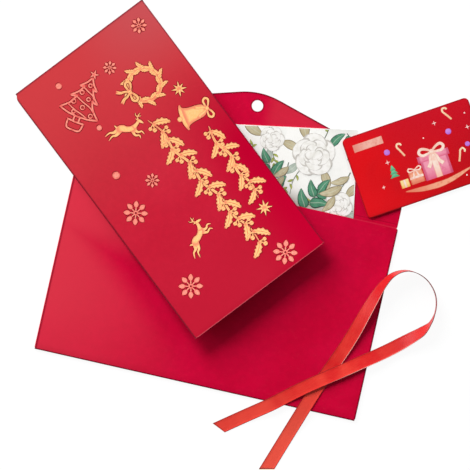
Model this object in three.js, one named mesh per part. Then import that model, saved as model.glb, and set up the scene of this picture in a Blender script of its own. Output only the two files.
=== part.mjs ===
// A money envelope set in millimetres, +Z up: a folded money packet lying across a larger open
// envelope, with a note card in the envelope's pocket, a gift card on it and a loose ribbon.
// The origin is the centre of the underside of the outer envelope's back panel, between the
// bottom fold and the flap's crease. +X runs along the long edge and +Y points to the flap.

import * as THREE from 'three';

// Sheets
const cardstock = 0.3;
const sheetGap = 0.05;
const turningGap = 0.3;

// Outer envelope
const outerWidth = 185;
const outerHeight = 113;
const throatSetback = 2;
const pocketThickness = 2;
const foldReach = 1;
const glueTabWidth = 18;
const glueTabTaper = 6;
const flapLength = 55.3;
const flapSideStraight = 12;
const flapSideBendRadius = 20;
const flapSideLean = 8.5;
const flapShoulderRadius = 8;
const flapTipSlope = 16.3;
const flapTipRadius = 41;
const ribbonHoleDiameter = 6.4;
const ribbonHoleFromTip = 7.3;

// Money packet
const packetLength = 171.5;
const packetWidth = 91;
const packetThickness = 1.6;
const packetAngle = -40.4;
const packetLeftOfCentre = 40.3;
const packetBeyondCrease = 2.2;
const packetBowHeight = 9;
const packetBowLength = 105;
const packetBowStep = 8;
const packetFlapLength = 27;
const packetFlapCornerRadius = 7;
const packetFlapTaper = 2.5;
const packetEndTabLength = 13;
const packetEndTabInset = 2;
const packetSeamTabWidth = 12;

// Note card, gift card and ribbon
const noteWidth = 120;
const noteHeight = 86;
const noteThickness = 0.35;
const noteAngle = 9.9;
const noteCornerFromSide = 34.4;
const noteCornerBeyondCrease = 47;
const giftCardWidth = 75;
const giftCardHeight = 47;
const giftCardThickness = 0.76;
const giftCardCornerRadius = 3.2;
const giftCardAngle = 31.7;
const giftCardCornerFromSide = 42.3;
const giftCardCornerBeyondCrease = 39.6;
const ribbonWidth = 7.5;
const ribbonThickness = 0.35;
const ribbonClearance = 0.08;
const ribbonStepsPerPoint = 2;

const bottomEdge = -outerHeight / 2;
const creaseLine = outerHeight / 2;
const panelHalfWidth = outerWidth / 2 - foldReach - sheetGap;
const panelBottom = bottomEdge + foldReach + sheetGap;
const throatLine = creaseLine - throatSetback;
const pocketPanelLow = pocketThickness - cardstock;

const packetLow = pocketThickness;
const packetTop = packetLow + packetThickness;
const packetFlapLow = packetLow - turningGap - cardstock;

const onTable = 0;
const onEnvelope = pocketThickness;
const overItself = onEnvelope + ribbonThickness + 2 * ribbonClearance;

// The ribbon's middle line from its left cut end, round the standing bend, to its lower cut end.
// Each point is x, y, the height of what it lies on there, and the turn of the ribbon's face in
// degrees: 0 lies flat, 90 stands on edge and 180 lies flat on its other face.
const ribbonRoute = [
  [18.7, -77.1, onTable, 0],
  [29.1, -69.2, onTable, 0],
  [37.5, -62.9, 0.9, 0],
  [44.0, -58.0, onEnvelope, 0],
  [51.0, -52.2, onEnvelope, 0],
  [60.2, -44.6, overItself, 3],
  [69.9, -37.3, overItself, 5],
  [79.6, -30.2, overItself, 6],
  [88.5, -23.6, onEnvelope, 8],
  [94.5, -19.2, onEnvelope, 10],
  [101.0, -14.3, 0.7, 12],
  [107.5, -8.9, onTable, 18],
  [113.5, -3.5, onTable, 34],
  [118.3, 1.2, onTable, 50],
  [121.5, 6.2, onTable, 80],
  [122.9, 12.0, onTable, 90],
  [122.7, 17.4, onTable, 90],
  [121.2, 22.3, onTable, 90],
  [118.3, 26.6, onTable, 90],
  [113.9, 30.3, onTable, 90],
  [108.3, 32.4, 0.3, 90],
  [102.8, 32.6, 0.9, 94],
  [97.9, 30.7, 1.6, 102],
  [94.0, 27.2, onEnvelope, 112],
  [90.9, 21.9, onEnvelope, 123],
  [88.3, 15.1, onEnvelope, 136],
  [84.9, 4.4, onEnvelope, 152],
  [81.2, -8.0, onEnvelope, 168],
  [77.3, -19.0, onEnvelope, 175],
  [73.4, -28.6, onEnvelope, 180],
  [69.4, -38.4, onEnvelope, 180],
  [66.1, -47.2, onEnvelope, 180],
  [63.0, -56.0, onEnvelope, 180],
  [60.2, -64.2, 1.1, 180],
  [57.2, -73.0, onTable, 180],
  [53.8, -83.0, onTable, 180],
  [50.1, -93.9, onTable, 180],
];

const redCard = () => new THREE.MeshStandardMaterial({ color: 0xc9102f, roughness: 0.6, metalness: 0 });
const printedRedCard = () =>
  new THREE.MeshStandardMaterial({ color: 0xcb2137, roughness: 0.5, metalness: 0 });
const noteCardPaper = () =>
  new THREE.MeshStandardMaterial({ color: 0xf1f0ea, roughness: 0.7, metalness: 0 });
const giftCardPlastic = () =>
  new THREE.MeshStandardMaterial({ color: 0xd4141e, roughness: 0.3, metalness: 0 });
const satin = () => new THREE.MeshStandardMaterial({ color: 0xec3a2c, roughness: 0.35, metalness: 0 });

const envelopeSet = new THREE.Group();
const outerEnvelope = new THREE.Group();
const moneyPacket = new THREE.Group();
const noteCard = new THREE.Group();
const giftCard = new THREE.Group();
envelopeSet.add(outerEnvelope, moneyPacket, noteCard, giftCard);

// The packet turns about its middle, the note card about its upper right corner, and the gift
// card about its upper left corner.
moneyPacket.position.set(-packetLeftOfCentre, creaseLine + packetBeyondCrease, 0);
moneyPacket.rotation.z = THREE.MathUtils.degToRad(packetAngle);
noteCard.position.set(
  outerWidth / 2 - noteCornerFromSide,
  creaseLine + noteCornerBeyondCrease,
  0,
);
noteCard.rotation.z = THREE.MathUtils.degToRad(noteAngle);
giftCard.position.set(
  outerWidth / 2 - giftCardCornerFromSide,
  creaseLine + giftCardCornerBeyondCrease,
  0,
);
giftCard.rotation.z = THREE.MathUtils.degToRad(giftCardAngle);

function addPiece(group, name, geometry, material) {
  const mesh = new THREE.Mesh(geometry, material);
  mesh.name = name;
  group.add(mesh);
  return mesh;
}

// A flat sheet with the given outline, its underside at the height low.
function flatSheet(outline, low, thickness) {
  const geometry = new THREE.ExtrudeGeometry(outline, {
    depth: thickness,
    bevelEnabled: false,
    curveSegments: 10,
  });
  geometry.translate(0, 0, low);
  return geometry;
}

function rectangle(left, bottom, right, top) {
  const outline = new THREE.Shape();
  outline.moveTo(left, bottom);
  outline.lineTo(right, bottom);
  outline.lineTo(right, top);
  outline.lineTo(left, top);
  outline.closePath();
  return outline;
}

// A closed outline through the corners, each [x, y, radius], with the corners rounded.
function roundedOutline(corners) {
  const outline = new THREE.Shape();
  corners.forEach(([x, y, radius], index) => {
    const corner = new THREE.Vector2(x, y);
    const before = corners[(index + corners.length - 1) % corners.length];
    const after = corners[(index + 1) % corners.length];
    const toBefore = new THREE.Vector2(before[0], before[1]).sub(corner).normalize();
    const toAfter = new THREE.Vector2(after[0], after[1]).sub(corner).normalize();
    const halfAngle = Math.acos(toBefore.dot(toAfter)) / 2;
    const reach = radius / Math.tan(halfAngle);
    const start = corner.clone().addScaledVector(toBefore, reach);
    const end = corner.clone().addScaledVector(toAfter, reach);
    if (index === 0) {
      outline.moveTo(start.x, start.y);
    } else {
      outline.lineTo(start.x, start.y);
    }
    if (radius > 0) {
      outline.quadraticCurveTo(corner.x, corner.y, end.x, end.y);
    }
  });
  outline.closePath();
  return outline;
}

// The half-round fold that joins two stacked panels, drawn in its own x and height, with its round
// side to +x. It is as thick as the card.
function foldSection() {
  const outer = pocketThickness / 2;
  const inner = outer - cardstock;
  const section = new THREE.Shape();
  section.moveTo(0, -outer);
  section.absellipse(0, 0, foldReach, outer, -Math.PI / 2, Math.PI / 2, false);
  section.lineTo(0, inner);
  section.absellipse(0, 0, foldReach - cardstock, inner, Math.PI / 2, -Math.PI / 2, true);
  section.closePath();
  return section;
}

function foldStrip(length) {
  const geometry = new THREE.ExtrudeGeometry(foldSection(), {
    depth: length,
    bevelEnabled: false,
    curveSegments: 8,
  });
  geometry.translate(0, 0, -length / 2);
  geometry.rotateX(Math.PI / 2);
  return geometry;
}

function buildOuterEnvelope() {
  addPiece(
    outerEnvelope,
    'outer_back_panel',
    flatSheet(rectangle(-panelHalfWidth, panelBottom, panelHalfWidth, creaseLine), 0, cardstock),
    redCard(),
  );
  addPiece(
    outerEnvelope,
    'outer_pocket_panel',
    flatSheet(
      rectangle(-panelHalfWidth, panelBottom, panelHalfWidth, throatLine),
      pocketPanelLow,
      cardstock,
    ),
    redCard(),
  );

  const bottomFold = addPiece(
    outerEnvelope,
    'outer_bottom_fold',
    foldStrip(2 * panelHalfWidth),
    redCard(),
  );
  bottomFold.rotation.z = -Math.PI / 2;
  bottomFold.position.set(0, panelBottom - sheetGap, pocketThickness / 2);

  const sideFoldLength = throatLine - panelBottom;
  for (const [name, side] of [['outer_left_fold', -1], ['outer_right_fold', 1]]) {
    const sideFold = addPiece(outerEnvelope, name, foldStrip(sideFoldLength), redCard());
    sideFold.rotation.z = side > 0 ? 0 : Math.PI;
    sideFold.position.set(
      side * (panelHalfWidth + sheetGap),
      panelBottom + sideFoldLength / 2,
      pocketThickness / 2,
    );
  }

  const tabLow = pocketPanelLow - sheetGap - cardstock;
  for (const [name, side] of [['outer_left_glue_tab', -1], ['outer_right_glue_tab', 1]]) {
    const tab = new THREE.Shape();
    tab.moveTo(side * panelHalfWidth, panelBottom);
    tab.lineTo(side * (panelHalfWidth - glueTabWidth), panelBottom + glueTabTaper);
    tab.lineTo(side * (panelHalfWidth - glueTabWidth), throatLine - glueTabTaper);
    tab.lineTo(side * panelHalfWidth, throatLine);
    tab.closePath();
    addPiece(outerEnvelope, name, flatSheet(tab, tabLow, cardstock), redCard());
  }

  addPiece(outerEnvelope, 'outer_flap', flatSheet(flapOutline(), 0, cardstock), redCard());
}

// The open flap: sides that run straight on from the crease and then lean in to round shoulders,
// and two long slopes up to the round tip, with the ribbon hole near the tip.
function flapOutline() {
  const slope = THREE.MathUtils.degToRad(flapTipSlope);
  const tip = creaseLine + flapLength;
  const tipCorner = tip + (flapTipRadius * Math.tan(slope) * Math.sin(slope)) / 2;
  const shoulderX = panelHalfWidth - flapSideLean;
  const shoulderY = tipCorner - shoulderX * Math.tan(slope);
  const bendY = creaseLine + flapSideStraight;
  const outline = roundedOutline([
    [-panelHalfWidth, creaseLine + sheetGap, 0],
    [panelHalfWidth, creaseLine + sheetGap, 0],
    [panelHalfWidth, bendY, flapSideBendRadius],
    [shoulderX, shoulderY, flapShoulderRadius],
    [0, tipCorner, flapTipRadius],
    [-shoulderX, shoulderY, flapShoulderRadius],
    [-panelHalfWidth, bendY, flapSideBendRadius],
  ]);
  const hole = new THREE.Path();
  hole.absarc(
    0,
    tip - ribbonHoleFromTip,
    ribbonHoleDiameter / 2,
    0,
    2 * Math.PI,
    true,
  );
  outline.holes.push(hole);
  return outline;
}

// How far the packet has bowed up at the distance along from its middle.
function packetRise(along) {
  const bowStart = packetLength / 2 - packetBowLength;
  const share = Math.max(0, along - bowStart) / packetBowLength;
  return packetBowHeight * share * share;
}

// A packet sheet that follows the bow: it spans from start to end along the packet and from
// rightSide to leftSide across it, with its underside at the height low before the bow.
function bowedSheet(start, end, rightSide, leftSide, low, thickness) {
  const steps = Math.ceil((end - start) / packetBowStep);
  const stations = [];
  for (let step = 0; step <= steps; step += 1) {
    stations.push(start + ((end - start) * step) / steps);
  }
  const section = new THREE.Shape();
  stations.forEach((along, index) => {
    const height = low + packetRise(along);
    if (index === 0) {
      section.moveTo(along, height);
    } else {
      section.lineTo(along, height);
    }
  });
  for (const along of stations.reverse()) {
    section.lineTo(along, low + thickness + packetRise(along));
  }
  section.closePath();
  const geometry = new THREE.ExtrudeGeometry(section, {
    depth: leftSide - rightSide,
    bevelEnabled: false,
  });
  geometry.rotateX(Math.PI / 2);
  geometry.translate(0, leftSide, 0);
  return geometry;
}

function buildMoneyPacket() {
  const halfLength = packetLength / 2;
  const halfWidth = packetWidth / 2;
  const inner = packetLow + cardstock + sheetGap;
  const innerHeight = packetThickness - 2 * cardstock - 2 * sheetGap;
  const frontLow = packetTop - cardstock;

  addPiece(
    moneyPacket,
    'packet_front_panel',
    bowedSheet(-halfLength, halfLength, -halfWidth, halfWidth, frontLow, cardstock),
    printedRedCard(),
  );
  addPiece(
    moneyPacket,
    'packet_back_panel',
    bowedSheet(-halfLength, halfLength, -halfWidth, halfWidth, packetLow, cardstock),
    printedRedCard(),
  );
  for (const [name, side] of [['packet_left_fold', 1], ['packet_right_fold', -1]]) {
    const edges = [side * halfWidth, side * (halfWidth - cardstock)].sort((a, b) => a - b);
    addPiece(
      moneyPacket,
      name,
      bowedSheet(-halfLength, halfLength, edges[0], edges[1], inner, innerHeight),
      printedRedCard(),
    );
  }

  const endFoldSide = halfWidth - cardstock - sheetGap;
  addPiece(
    moneyPacket,
    'packet_end_fold',
    bowedSheet(
      halfLength - cardstock,
      halfLength,
      -endFoldSide,
      endFoldSide,
      inner,
      innerHeight,
    ),
    printedRedCard(),
  );
  addPiece(
    moneyPacket,
    'packet_end_tab',
    bowedSheet(
      halfLength - packetEndTabLength,
      halfLength,
      packetEndTabInset - halfWidth,
      halfWidth - packetEndTabInset,
      packetLow - sheetGap - cardstock,
      cardstock,
    ),
    printedRedCard(),
  );
  addPiece(
    moneyPacket,
    'packet_seam_tab',
    bowedSheet(
      -halfLength,
      halfLength - cardstock - sheetGap,
      -endFoldSide,
      packetSeamTabWidth - endFoldSide,
      inner,
      cardstock,
    ),
    printedRedCard(),
  );

  const flapEnd = packetFlapLength - halfLength;
  const flap = roundedOutline([
    [-halfLength, -halfWidth, 0],
    [flapEnd, packetFlapTaper - halfWidth, packetFlapCornerRadius],
    [flapEnd, halfWidth - packetFlapTaper, packetFlapCornerRadius],
    [-halfLength, halfWidth, 0],
  ]);
  addPiece(
    moneyPacket,
    'packet_flap',
    flatSheet(flap, packetFlapLow, cardstock),
    printedRedCard(),
  );
}

function buildCards() {
  addPiece(
    noteCard,
    'note_card',
    flatSheet(rectangle(-noteWidth, -noteHeight, 0, 0), cardstock, noteThickness),
    noteCardPaper(),
  );
  const outline = roundedOutline([
    [0, -giftCardHeight, giftCardCornerRadius],
    [giftCardWidth, -giftCardHeight, giftCardCornerRadius],
    [giftCardWidth, 0, giftCardCornerRadius],
    [0, 0, giftCardCornerRadius],
  ]);
  addPiece(
    giftCard,
    'gift_card',
    flatSheet(outline, cardstock + noteThickness, giftCardThickness),
    giftCardPlastic(),
  );
}

// The middle of the ribbon at a point of its route: its lower edge clears what it lies on.
function ribbonCentre([x, y, surface, turn]) {
  const angle = THREE.MathUtils.degToRad(turn);
  const halfHeight = (ribbonWidth * Math.sin(angle) + ribbonThickness * Math.abs(Math.cos(angle))) / 2;
  return new THREE.Vector3(x, y, surface + ribbonClearance + halfHeight);
}

// The ribbon as one flat band swept along its route. Each cross-section is level at turn 0, and
// its left side goes down as it turns.
function ribbonGeometry() {
  const curve = new THREE.CatmullRomCurve3(ribbonRoute.map(ribbonCentre));
  const lastIndex = ribbonRoute.length - 1;
  const steps = ribbonStepsPerPoint * lastIndex;
  const corners = [[-1, -1], [1, -1], [1, 1], [-1, 1]];
  const positions = [];
  for (let step = 0; step <= steps; step += 1) {
    const share = step / steps;
    const index = Math.min(Math.floor(share * lastIndex), lastIndex - 1);
    const turn = THREE.MathUtils.lerp(
      ribbonRoute[index][3],
      ribbonRoute[index + 1][3],
      share * lastIndex - index,
    );
    const centre = curve.getPoint(share);
    const along = curve.getTangent(share);
    const side = new THREE.Vector3(along.y, -along.x, 0).normalize();
    side.applyAxisAngle(along, THREE.MathUtils.degToRad(-turn));
    const up = new THREE.Vector3().crossVectors(side, along).normalize();
    for (const [across, above] of corners) {
      const corner = centre.clone();
      corner.addScaledVector(side, (across * ribbonWidth) / 2);
      corner.addScaledVector(up, (above * ribbonThickness) / 2);
      positions.push(corner.x, corner.y, corner.z);
    }
  }
  const faces = [0, 1, 2, 0, 2, 3];
  for (let first = 0; first < 4 * steps; first += 4) {
    for (let corner = 0; corner < 4; corner += 1) {
      const here = first + corner;
      const beside = first + ((corner + 1) % 4);
      faces.push(here, here + 4, beside, beside, here + 4, beside + 4);
    }
  }
  const last = 4 * steps;
  faces.push(last, last + 2, last + 1, last, last + 3, last + 2);
  const geometry = new THREE.BufferGeometry();
  geometry.setAttribute('position', new THREE.Float32BufferAttribute(positions, 3));
  geometry.setIndex(faces);
  geometry.computeVertexNormals();
  return geometry;
}

buildOuterEnvelope();
buildMoneyPacket();
buildCards();
addPiece(envelopeSet, 'ribbon', ribbonGeometry(), satin());

export default envelopeSet;
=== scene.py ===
"""The looks of a money envelope set: a foil-printed money packet on a larger open card envelope,
with a floral note card in its pocket, a gift card and a loose satin ribbon."""

import math

import bmesh
import bpy
from mathutils import Matrix, Vector
from mathutils.geometry import interpolate_bezier


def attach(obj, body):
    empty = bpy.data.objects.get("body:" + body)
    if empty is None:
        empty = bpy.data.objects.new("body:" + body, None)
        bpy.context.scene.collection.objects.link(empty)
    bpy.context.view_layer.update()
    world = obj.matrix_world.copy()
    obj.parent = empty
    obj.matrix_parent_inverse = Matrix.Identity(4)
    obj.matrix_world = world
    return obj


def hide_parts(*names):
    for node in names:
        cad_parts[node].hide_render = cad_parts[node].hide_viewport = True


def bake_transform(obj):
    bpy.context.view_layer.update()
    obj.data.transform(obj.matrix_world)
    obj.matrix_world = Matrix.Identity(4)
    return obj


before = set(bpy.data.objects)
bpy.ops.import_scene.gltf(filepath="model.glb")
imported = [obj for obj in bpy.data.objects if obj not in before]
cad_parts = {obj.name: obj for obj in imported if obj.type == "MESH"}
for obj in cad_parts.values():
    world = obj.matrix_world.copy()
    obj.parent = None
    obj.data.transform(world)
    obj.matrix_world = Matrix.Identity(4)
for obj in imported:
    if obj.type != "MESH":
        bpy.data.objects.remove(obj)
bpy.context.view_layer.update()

# Camera.
# It looks straight down from 2 m with a long lens, and is turned a little so that the envelope's
# long edges slope across the picture.
camera_height = 2.0
view_middle = (0.00369, 0.0308)
view_width = 0.2646
view_turn = math.radians(12.74)

bpy.ops.object.select_all(action="DESELECT")
bpy.ops.object.camera_add(location=(*view_middle, camera_height), rotation=(0, 0, view_turn))
camera = bpy.context.object
camera.data.sensor_width = 36
camera.data.lens = camera.data.sensor_width * camera_height / view_width
bpy.context.scene.camera = camera
bpy.context.scene.view_settings.view_transform = "Standard"

# Satin ribbon.
# A loose length of narrow woven polyester satin with a firm selvedge on both edges and its two
# ends cut. It lies over the pocket, turns on its edge in a loop beside it and crosses itself.
ribbon_width = 0.0075
ribbon_thickness = 0.00035
ribbon_clearance = 0.00008
weft_spacing = 0.0003
on_table = 0
on_envelope = 0.002
over_itself = 0.00251
# Each point is x, y, the height of what it lies on, and the band's turn about its length: flat at
# 0, on its left edge at 90 and flat on its other face at 180.
ribbon_route = [
    (0.0187, -0.0771, on_table, 0),
    (0.0291, -0.0692, on_table, 0),
    (0.0375, -0.0629, 0.0009, 0),
    (0.0440, -0.0580, on_envelope, 0),
    (0.0510, -0.0522, on_envelope, 0),
    (0.0602, -0.0446, over_itself, 3),
    (0.0699, -0.0373, over_itself, 5),
    (0.0796, -0.0302, over_itself, 6),
    (0.0885, -0.0236, on_envelope, 8),
    (0.0945, -0.0192, on_envelope, 10),
    (0.1010, -0.0143, 0.0007, 12),
    (0.1075, -0.0089, on_table, 18),
    (0.1135, -0.0035, on_table, 34),
    (0.1183, 0.0012, on_table, 50),
    (0.1215, 0.0062, on_table, 80),
    (0.1229, 0.0120, on_table, 90),
    (0.1227, 0.0174, on_table, 90),
    (0.1212, 0.0223, on_table, 90),
    (0.1183, 0.0266, on_table, 90),
    (0.1139, 0.0303, on_table, 90),
    (0.1083, 0.0324, 0.0003, 90),
    (0.1028, 0.0326, 0.0009, 94),
    (0.0979, 0.0307, 0.0016, 102),
    (0.0940, 0.0272, on_envelope, 112),
    (0.0909, 0.0219, on_envelope, 123),
    (0.0883, 0.0151, on_envelope, 136),
    (0.0849, 0.0044, on_envelope, 152),
    (0.0812, -0.0080, on_envelope, 168),
    (0.0773, -0.0190, on_envelope, 175),
    (0.0734, -0.0286, on_envelope, 180),
    (0.0694, -0.0384, on_envelope, 180),
    (0.0661, -0.0472, on_envelope, 180),
    (0.0630, -0.0560, on_envelope, 180),
    (0.0602, -0.0642, 0.0011, 180),
    (0.0572, -0.0730, on_table, 180),
    (0.0538, -0.0830, on_table, 180),
    (0.0501, -0.0939, on_table, 180),
]
ribbon_steps = 7
# Across the half width: how far out, and how much of the full thickness the band has there.
selvedge = [(0, 0.62), (0.5, 0.62), (0.88, 0.62), (0.93, 0.9), (0.965, 1.0), (0.99, 0.8), (1, 0.35)]
slant_reach = 0.012
start_slant = 0.55
end_slant = -0.61


def smooth_path(points, steps):
    """The points of one smooth curve through the given ones, with steps pieces between each two."""
    path = []
    for here in range(len(points) - 1):
        start, end = points[here], points[here + 1]
        before = points[max(here - 1, 0)]
        after = points[min(here + 2, len(points) - 1)]
        first_handle = start + (end - before) / 6
        last_handle = end - (after - start) / 6
        path += interpolate_bezier(start, first_handle, last_handle, end, steps + 1)[:-1]
    return path + [points[-1]]


def new_object(name, mesh):
    piece = bpy.data.objects.new(name, mesh)
    bpy.context.scene.collection.objects.link(piece)
    return piece


ribbon_centres = []
for x, y, surface, turn in ribbon_route:
    turn = math.radians(turn)
    half_height = (ribbon_width * math.sin(turn) + ribbon_thickness * abs(math.cos(turn))) / 2
    ribbon_centres.append(Vector((x, y, surface + ribbon_clearance + half_height)))
ribbon_path = smooth_path(ribbon_centres, ribbon_steps)

ribbon_section = [(-out, thick) for out, thick in reversed(selvedge)] + selvedge[1:]
ribbon_section += [(out, -thick) for out, thick in reversed(ribbon_section)]

ribbon_mesh = bmesh.new()
ribbon_uv = ribbon_mesh.loops.layers.uv.new("cloth")
ribbon_rings = []
ribbon_run = [0.0]
for step, centre in enumerate(ribbon_path[1:]):
    ribbon_run.append(ribbon_run[-1] + (centre - ribbon_path[step]).length)
for step, centre in enumerate(ribbon_path):
    ahead = ribbon_path[min(step + 1, len(ribbon_path) - 1)]
    behind = ribbon_path[max(step - 1, 0)]
    along = (ahead - behind).normalized()
    point = min(step // ribbon_steps, len(ribbon_route) - 2)
    share = step / ribbon_steps - point
    turn = ribbon_route[point][3] * (1 - share) + ribbon_route[point + 1][3] * share
    side = Matrix.Rotation(math.radians(-turn), 3, along) @ Vector((along.y, -along.x, 0)).normalized()
    up = side.cross(along).normalized()
    cut = start_slant * max(0.0, 1 - ribbon_run[step] / slant_reach)
    cut += end_slant * max(0.0, 1 - (ribbon_run[-1] - ribbon_run[step]) / slant_reach)
    ring = []
    for out, thick in ribbon_section:
        place = centre + side * out * ribbon_width / 2 + up * thick * ribbon_thickness / 2
        ring.append(ribbon_mesh.verts.new(place + along * out * cut * ribbon_width / 2))
    ribbon_rings.append(ring)
for step in range(len(ribbon_rings) - 1):
    for here in range(len(ribbon_section)):
        beside = (here + 1) % len(ribbon_section)
        corners = [(step, here), (step + 1, here), (step + 1, beside), (step, beside)]
        face = ribbon_mesh.faces.new([ribbon_rings[row][spot] for row, spot in corners])
        face.smooth = True
        for loop, (row, spot) in zip(face.loops, corners):
            across = ribbon_section[spot][0] * ribbon_width / 2
            loop[ribbon_uv].uv = (across, ribbon_run[row])
ribbon_mesh.faces.new(ribbon_rings[0])
ribbon_mesh.faces.new(list(reversed(ribbon_rings[-1])))
bmesh.ops.recalc_face_normals(ribbon_mesh, faces=ribbon_mesh.faces)
ribbon = new_object("satin_ribbon", bpy.data.meshes.new("satin_ribbon"))
ribbon_mesh.to_mesh(ribbon.data)
ribbon_mesh.free()


def shade(code):
    """The linear colour of a six-figure colour code."""
    parts = [int(code[place:place + 2], 16) / 255 for place in (0, 2, 4)]
    return (*[(part / 12.92 if part < 0.04045 else ((part + 0.055) / 1.055) ** 2.4) for part in parts], 1)


def feed(node, inputs):
    """Sets a node's inputs, each to a plain value, a colour code or another node's output."""
    for name, value in inputs.items():
        if isinstance(value, bpy.types.NodeSocket):
            node.id_data.links.new(value, node.inputs[name])
        else:
            node.inputs[name].default_value = shade(value) if isinstance(value, str) else value


def add_node(tree, kind, inputs=None, **settings):
    node = tree.nodes.new(kind)
    for name, value in settings.items():
        setattr(node, name, value)
    feed(node, inputs or {})
    return node


def new_finish(name):
    """An empty material, its shader, and the coordinates that its nodes can start from."""
    material = bpy.data.materials.new(name)
    material.use_nodes = True
    tree = material.node_tree
    return material, tree.nodes["Principled BSDF"], add_node(tree, "ShaderNodeTexCoord").outputs


def tree_of(*values):
    """The node tree of the first value that is a node's output."""
    return next(value.id_data for value in values if isinstance(value, bpy.types.NodeSocket))


def maths(operation, first, second=0.0):
    node = add_node(tree_of(first, second), "ShaderNodeMath", {0: first, 1: second}, operation=operation)
    return node.outputs[0]


def product(first, second):
    return maths("MULTIPLY", first, second)


def split(vector):
    """The x and the y of a vector."""
    return add_node(vector.id_data, "ShaderNodeSeparateXYZ", {0: vector}).outputs[:2]


def mix_colours(share, first, second):
    inputs = {0: share, 6: first, 7: second}
    return add_node(tree_of(share, first, second), "ShaderNodeMix", inputs, data_type="RGBA").outputs[2]


def paint_over(painted, layers):
    """Lays paint over paint. Each layer is a share and a colour."""
    for share, colour in layers:
        painted = mix_colours(share, painted, colour)
    return painted


def step_between(value, low, high, start=0.0, end=1.0):
    """Goes smoothly from start to end as the value goes from low to high."""
    inputs = {"Value": value, "From Min": low, "From Max": high, "To Min": start, "To Max": end}
    return add_node(value.id_data, "ShaderNodeMapRange", inputs, interpolation_type="SMOOTHSTEP").outputs[0]


def stretch_between(value, start, full, fall, end, strength=1.0):
    """Rises from 0 to 1 between start and full, and falls from the strength to 0 between fall and end."""
    return product(step_between(value, start, full), step_between(value, fall, end, strength, 0.0))


def noise(place, scale, detail=2.0, stretch=(1, 1, 1)):
    """Noise between 0 and 1, drawn out along the axes by stretch."""
    moved = add_node(place.id_data, "ShaderNodeMapping", {"Vector": place, "Scale": stretch})
    inputs = {"Vector": moved.outputs[0], "Scale": scale, "Detail": detail}
    return add_node(place.id_data, "ShaderNodeTexNoise", inputs).outputs["Fac"]


def finish_bump(shader, height, depth):
    bump = add_node(shader.id_data, "ShaderNodeBump", {"Height": height, "Distance": depth, "Strength": 1.0})
    feed(shader, {"Normal": bump.outputs[0]})


# The satin: long lustrous warp threads, a fine rib of weft, and tight brighter selvedges. Light and
# shade are painted on it: painted light makes it lighter at its ends, painted shade makes it deeper
# where it turns over and darkens the edge of the loop that stands up, a thin painted line of shade
# runs along both edges, and a painted highlight lies on its raised edge.
satin, satin_shader, _ = new_finish("ribbon_satin")
satin_uv = add_node(satin.node_tree, "ShaderNodeUVMap", uv_map="cloth").outputs[0]
satin_side, satin_run = split(satin_uv)
satin_across = maths("ABSOLUTE", satin_side)
warp = noise(satin_uv, 900, 3, stretch=(8, 0.25, 1))
lustre = noise(satin_uv, 60, 2, stretch=(0.6, 1, 1))
weft = maths("SINE", product(satin_run, 2 * math.pi / weft_spacing))
edge_band = step_between(satin_across, 0.00322, 0.00345)
standing_part = stretch_between(satin_run, 0.118, 0.132, 0.18, 0.2)
raised_edge_highlight = product(
    stretch_between(satin_run, 0.06, 0.09, 0.24, 0.26), maths("SUBTRACT", 1.0, standing_part))
painted_light_at_ends = maths(
    "ADD", step_between(satin_run, 0.02, 0.05, 0.4, 0.0), step_between(satin_run, 0.25, 0.285, 0.0, 0.8))
satin_paint = mix_colours(step_between(lustre, 0.35, 0.65), "D8171F", "E93A31")
# Painted light at the ends, painted shade where it turns over, a painted line of shade at both edges, a
# painted highlight on the raised edge and painted shade on the standing loop's edge.
satin_paint = paint_over(satin_paint, (
    (painted_light_at_ends, "F45A48"),
    (step_between(warp, 0.35, 0.75, 0.0, 0.3), "F4604C"),
    (stretch_between(satin_run, 0.085, 0.12, 0.195, 0.245, 0.65), "AC0E1A"),
    (edge_band, "D42824"),
    (step_between(satin_across, 0.0034, 0.0036), "8A1A1C"),
    (product(step_between(satin_side, 0.00335, 0.0035), raised_edge_highlight), "F0A096"),
    (product(standing_part, edge_band), "6A2222")))
feed(satin_shader, {
    "Base Color": satin_paint, "Roughness": step_between(warp, 0.2, 0.8, 0.3, 0.46),
    "Specular IOR Level": 0.12, "Sheen Weight": 0.06, "Sheen Roughness": 0.35, "Sheen Tint": "FFB09A"})
finish_bump(satin_shader, maths("ADD", product(weft, 0.25), warp), 0.00003)
ribbon.data.materials.append(satin)

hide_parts("ribbon")
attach(ribbon, "loose_ribbon")

# Outer envelope, its pocket.
# One sheet of 0.3 mm crimson card: the back panel, side folds with the glue tabs that they end in,
# and the bottom fold with the pocket panel, which is folded up over the tabs and glued to them.
card_thickness = 0.0003
envelope_half_width = 0.0925
envelope_bottom = -0.0565
crease_line = 0.0565
crease_start = 0.0549
throat_line = 0.0545
side_fold_radius = 0.000675
bottom_fold_radius = 0.00085
tab_width = 0.0175
tab_taper = 0.006
pocket_overhang = 0.0005
pocket_rows = 28
pocket_dip = 0.00016
throat_corner_start = 0.070
throat_corner_drop = 0.003
tolerance = 0.00001


def add_sheet(name, columns, rows, left, bottom, right, top, height):
    """A flat grid of that extent, open in edit mode, its object at the origin."""
    bpy.ops.object.select_all(action="DESELECT")
    bpy.ops.mesh.primitive_grid_add(x_subdivisions=columns, y_subdivisions=rows, size=1)
    sheet = bpy.context.object
    sheet.name = name
    bpy.ops.object.mode_set(mode="EDIT")
    bpy.ops.mesh.select_mode(type="EDGE")
    bpy.ops.mesh.select_all(action="SELECT")
    bpy.ops.transform.resize(value=(right - left, top - bottom, 1), center_override=(0, 0, 0))
    bpy.ops.transform.translate(value=((left + right) / 2, (bottom + top) / 2, height))
    return sheet


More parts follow.
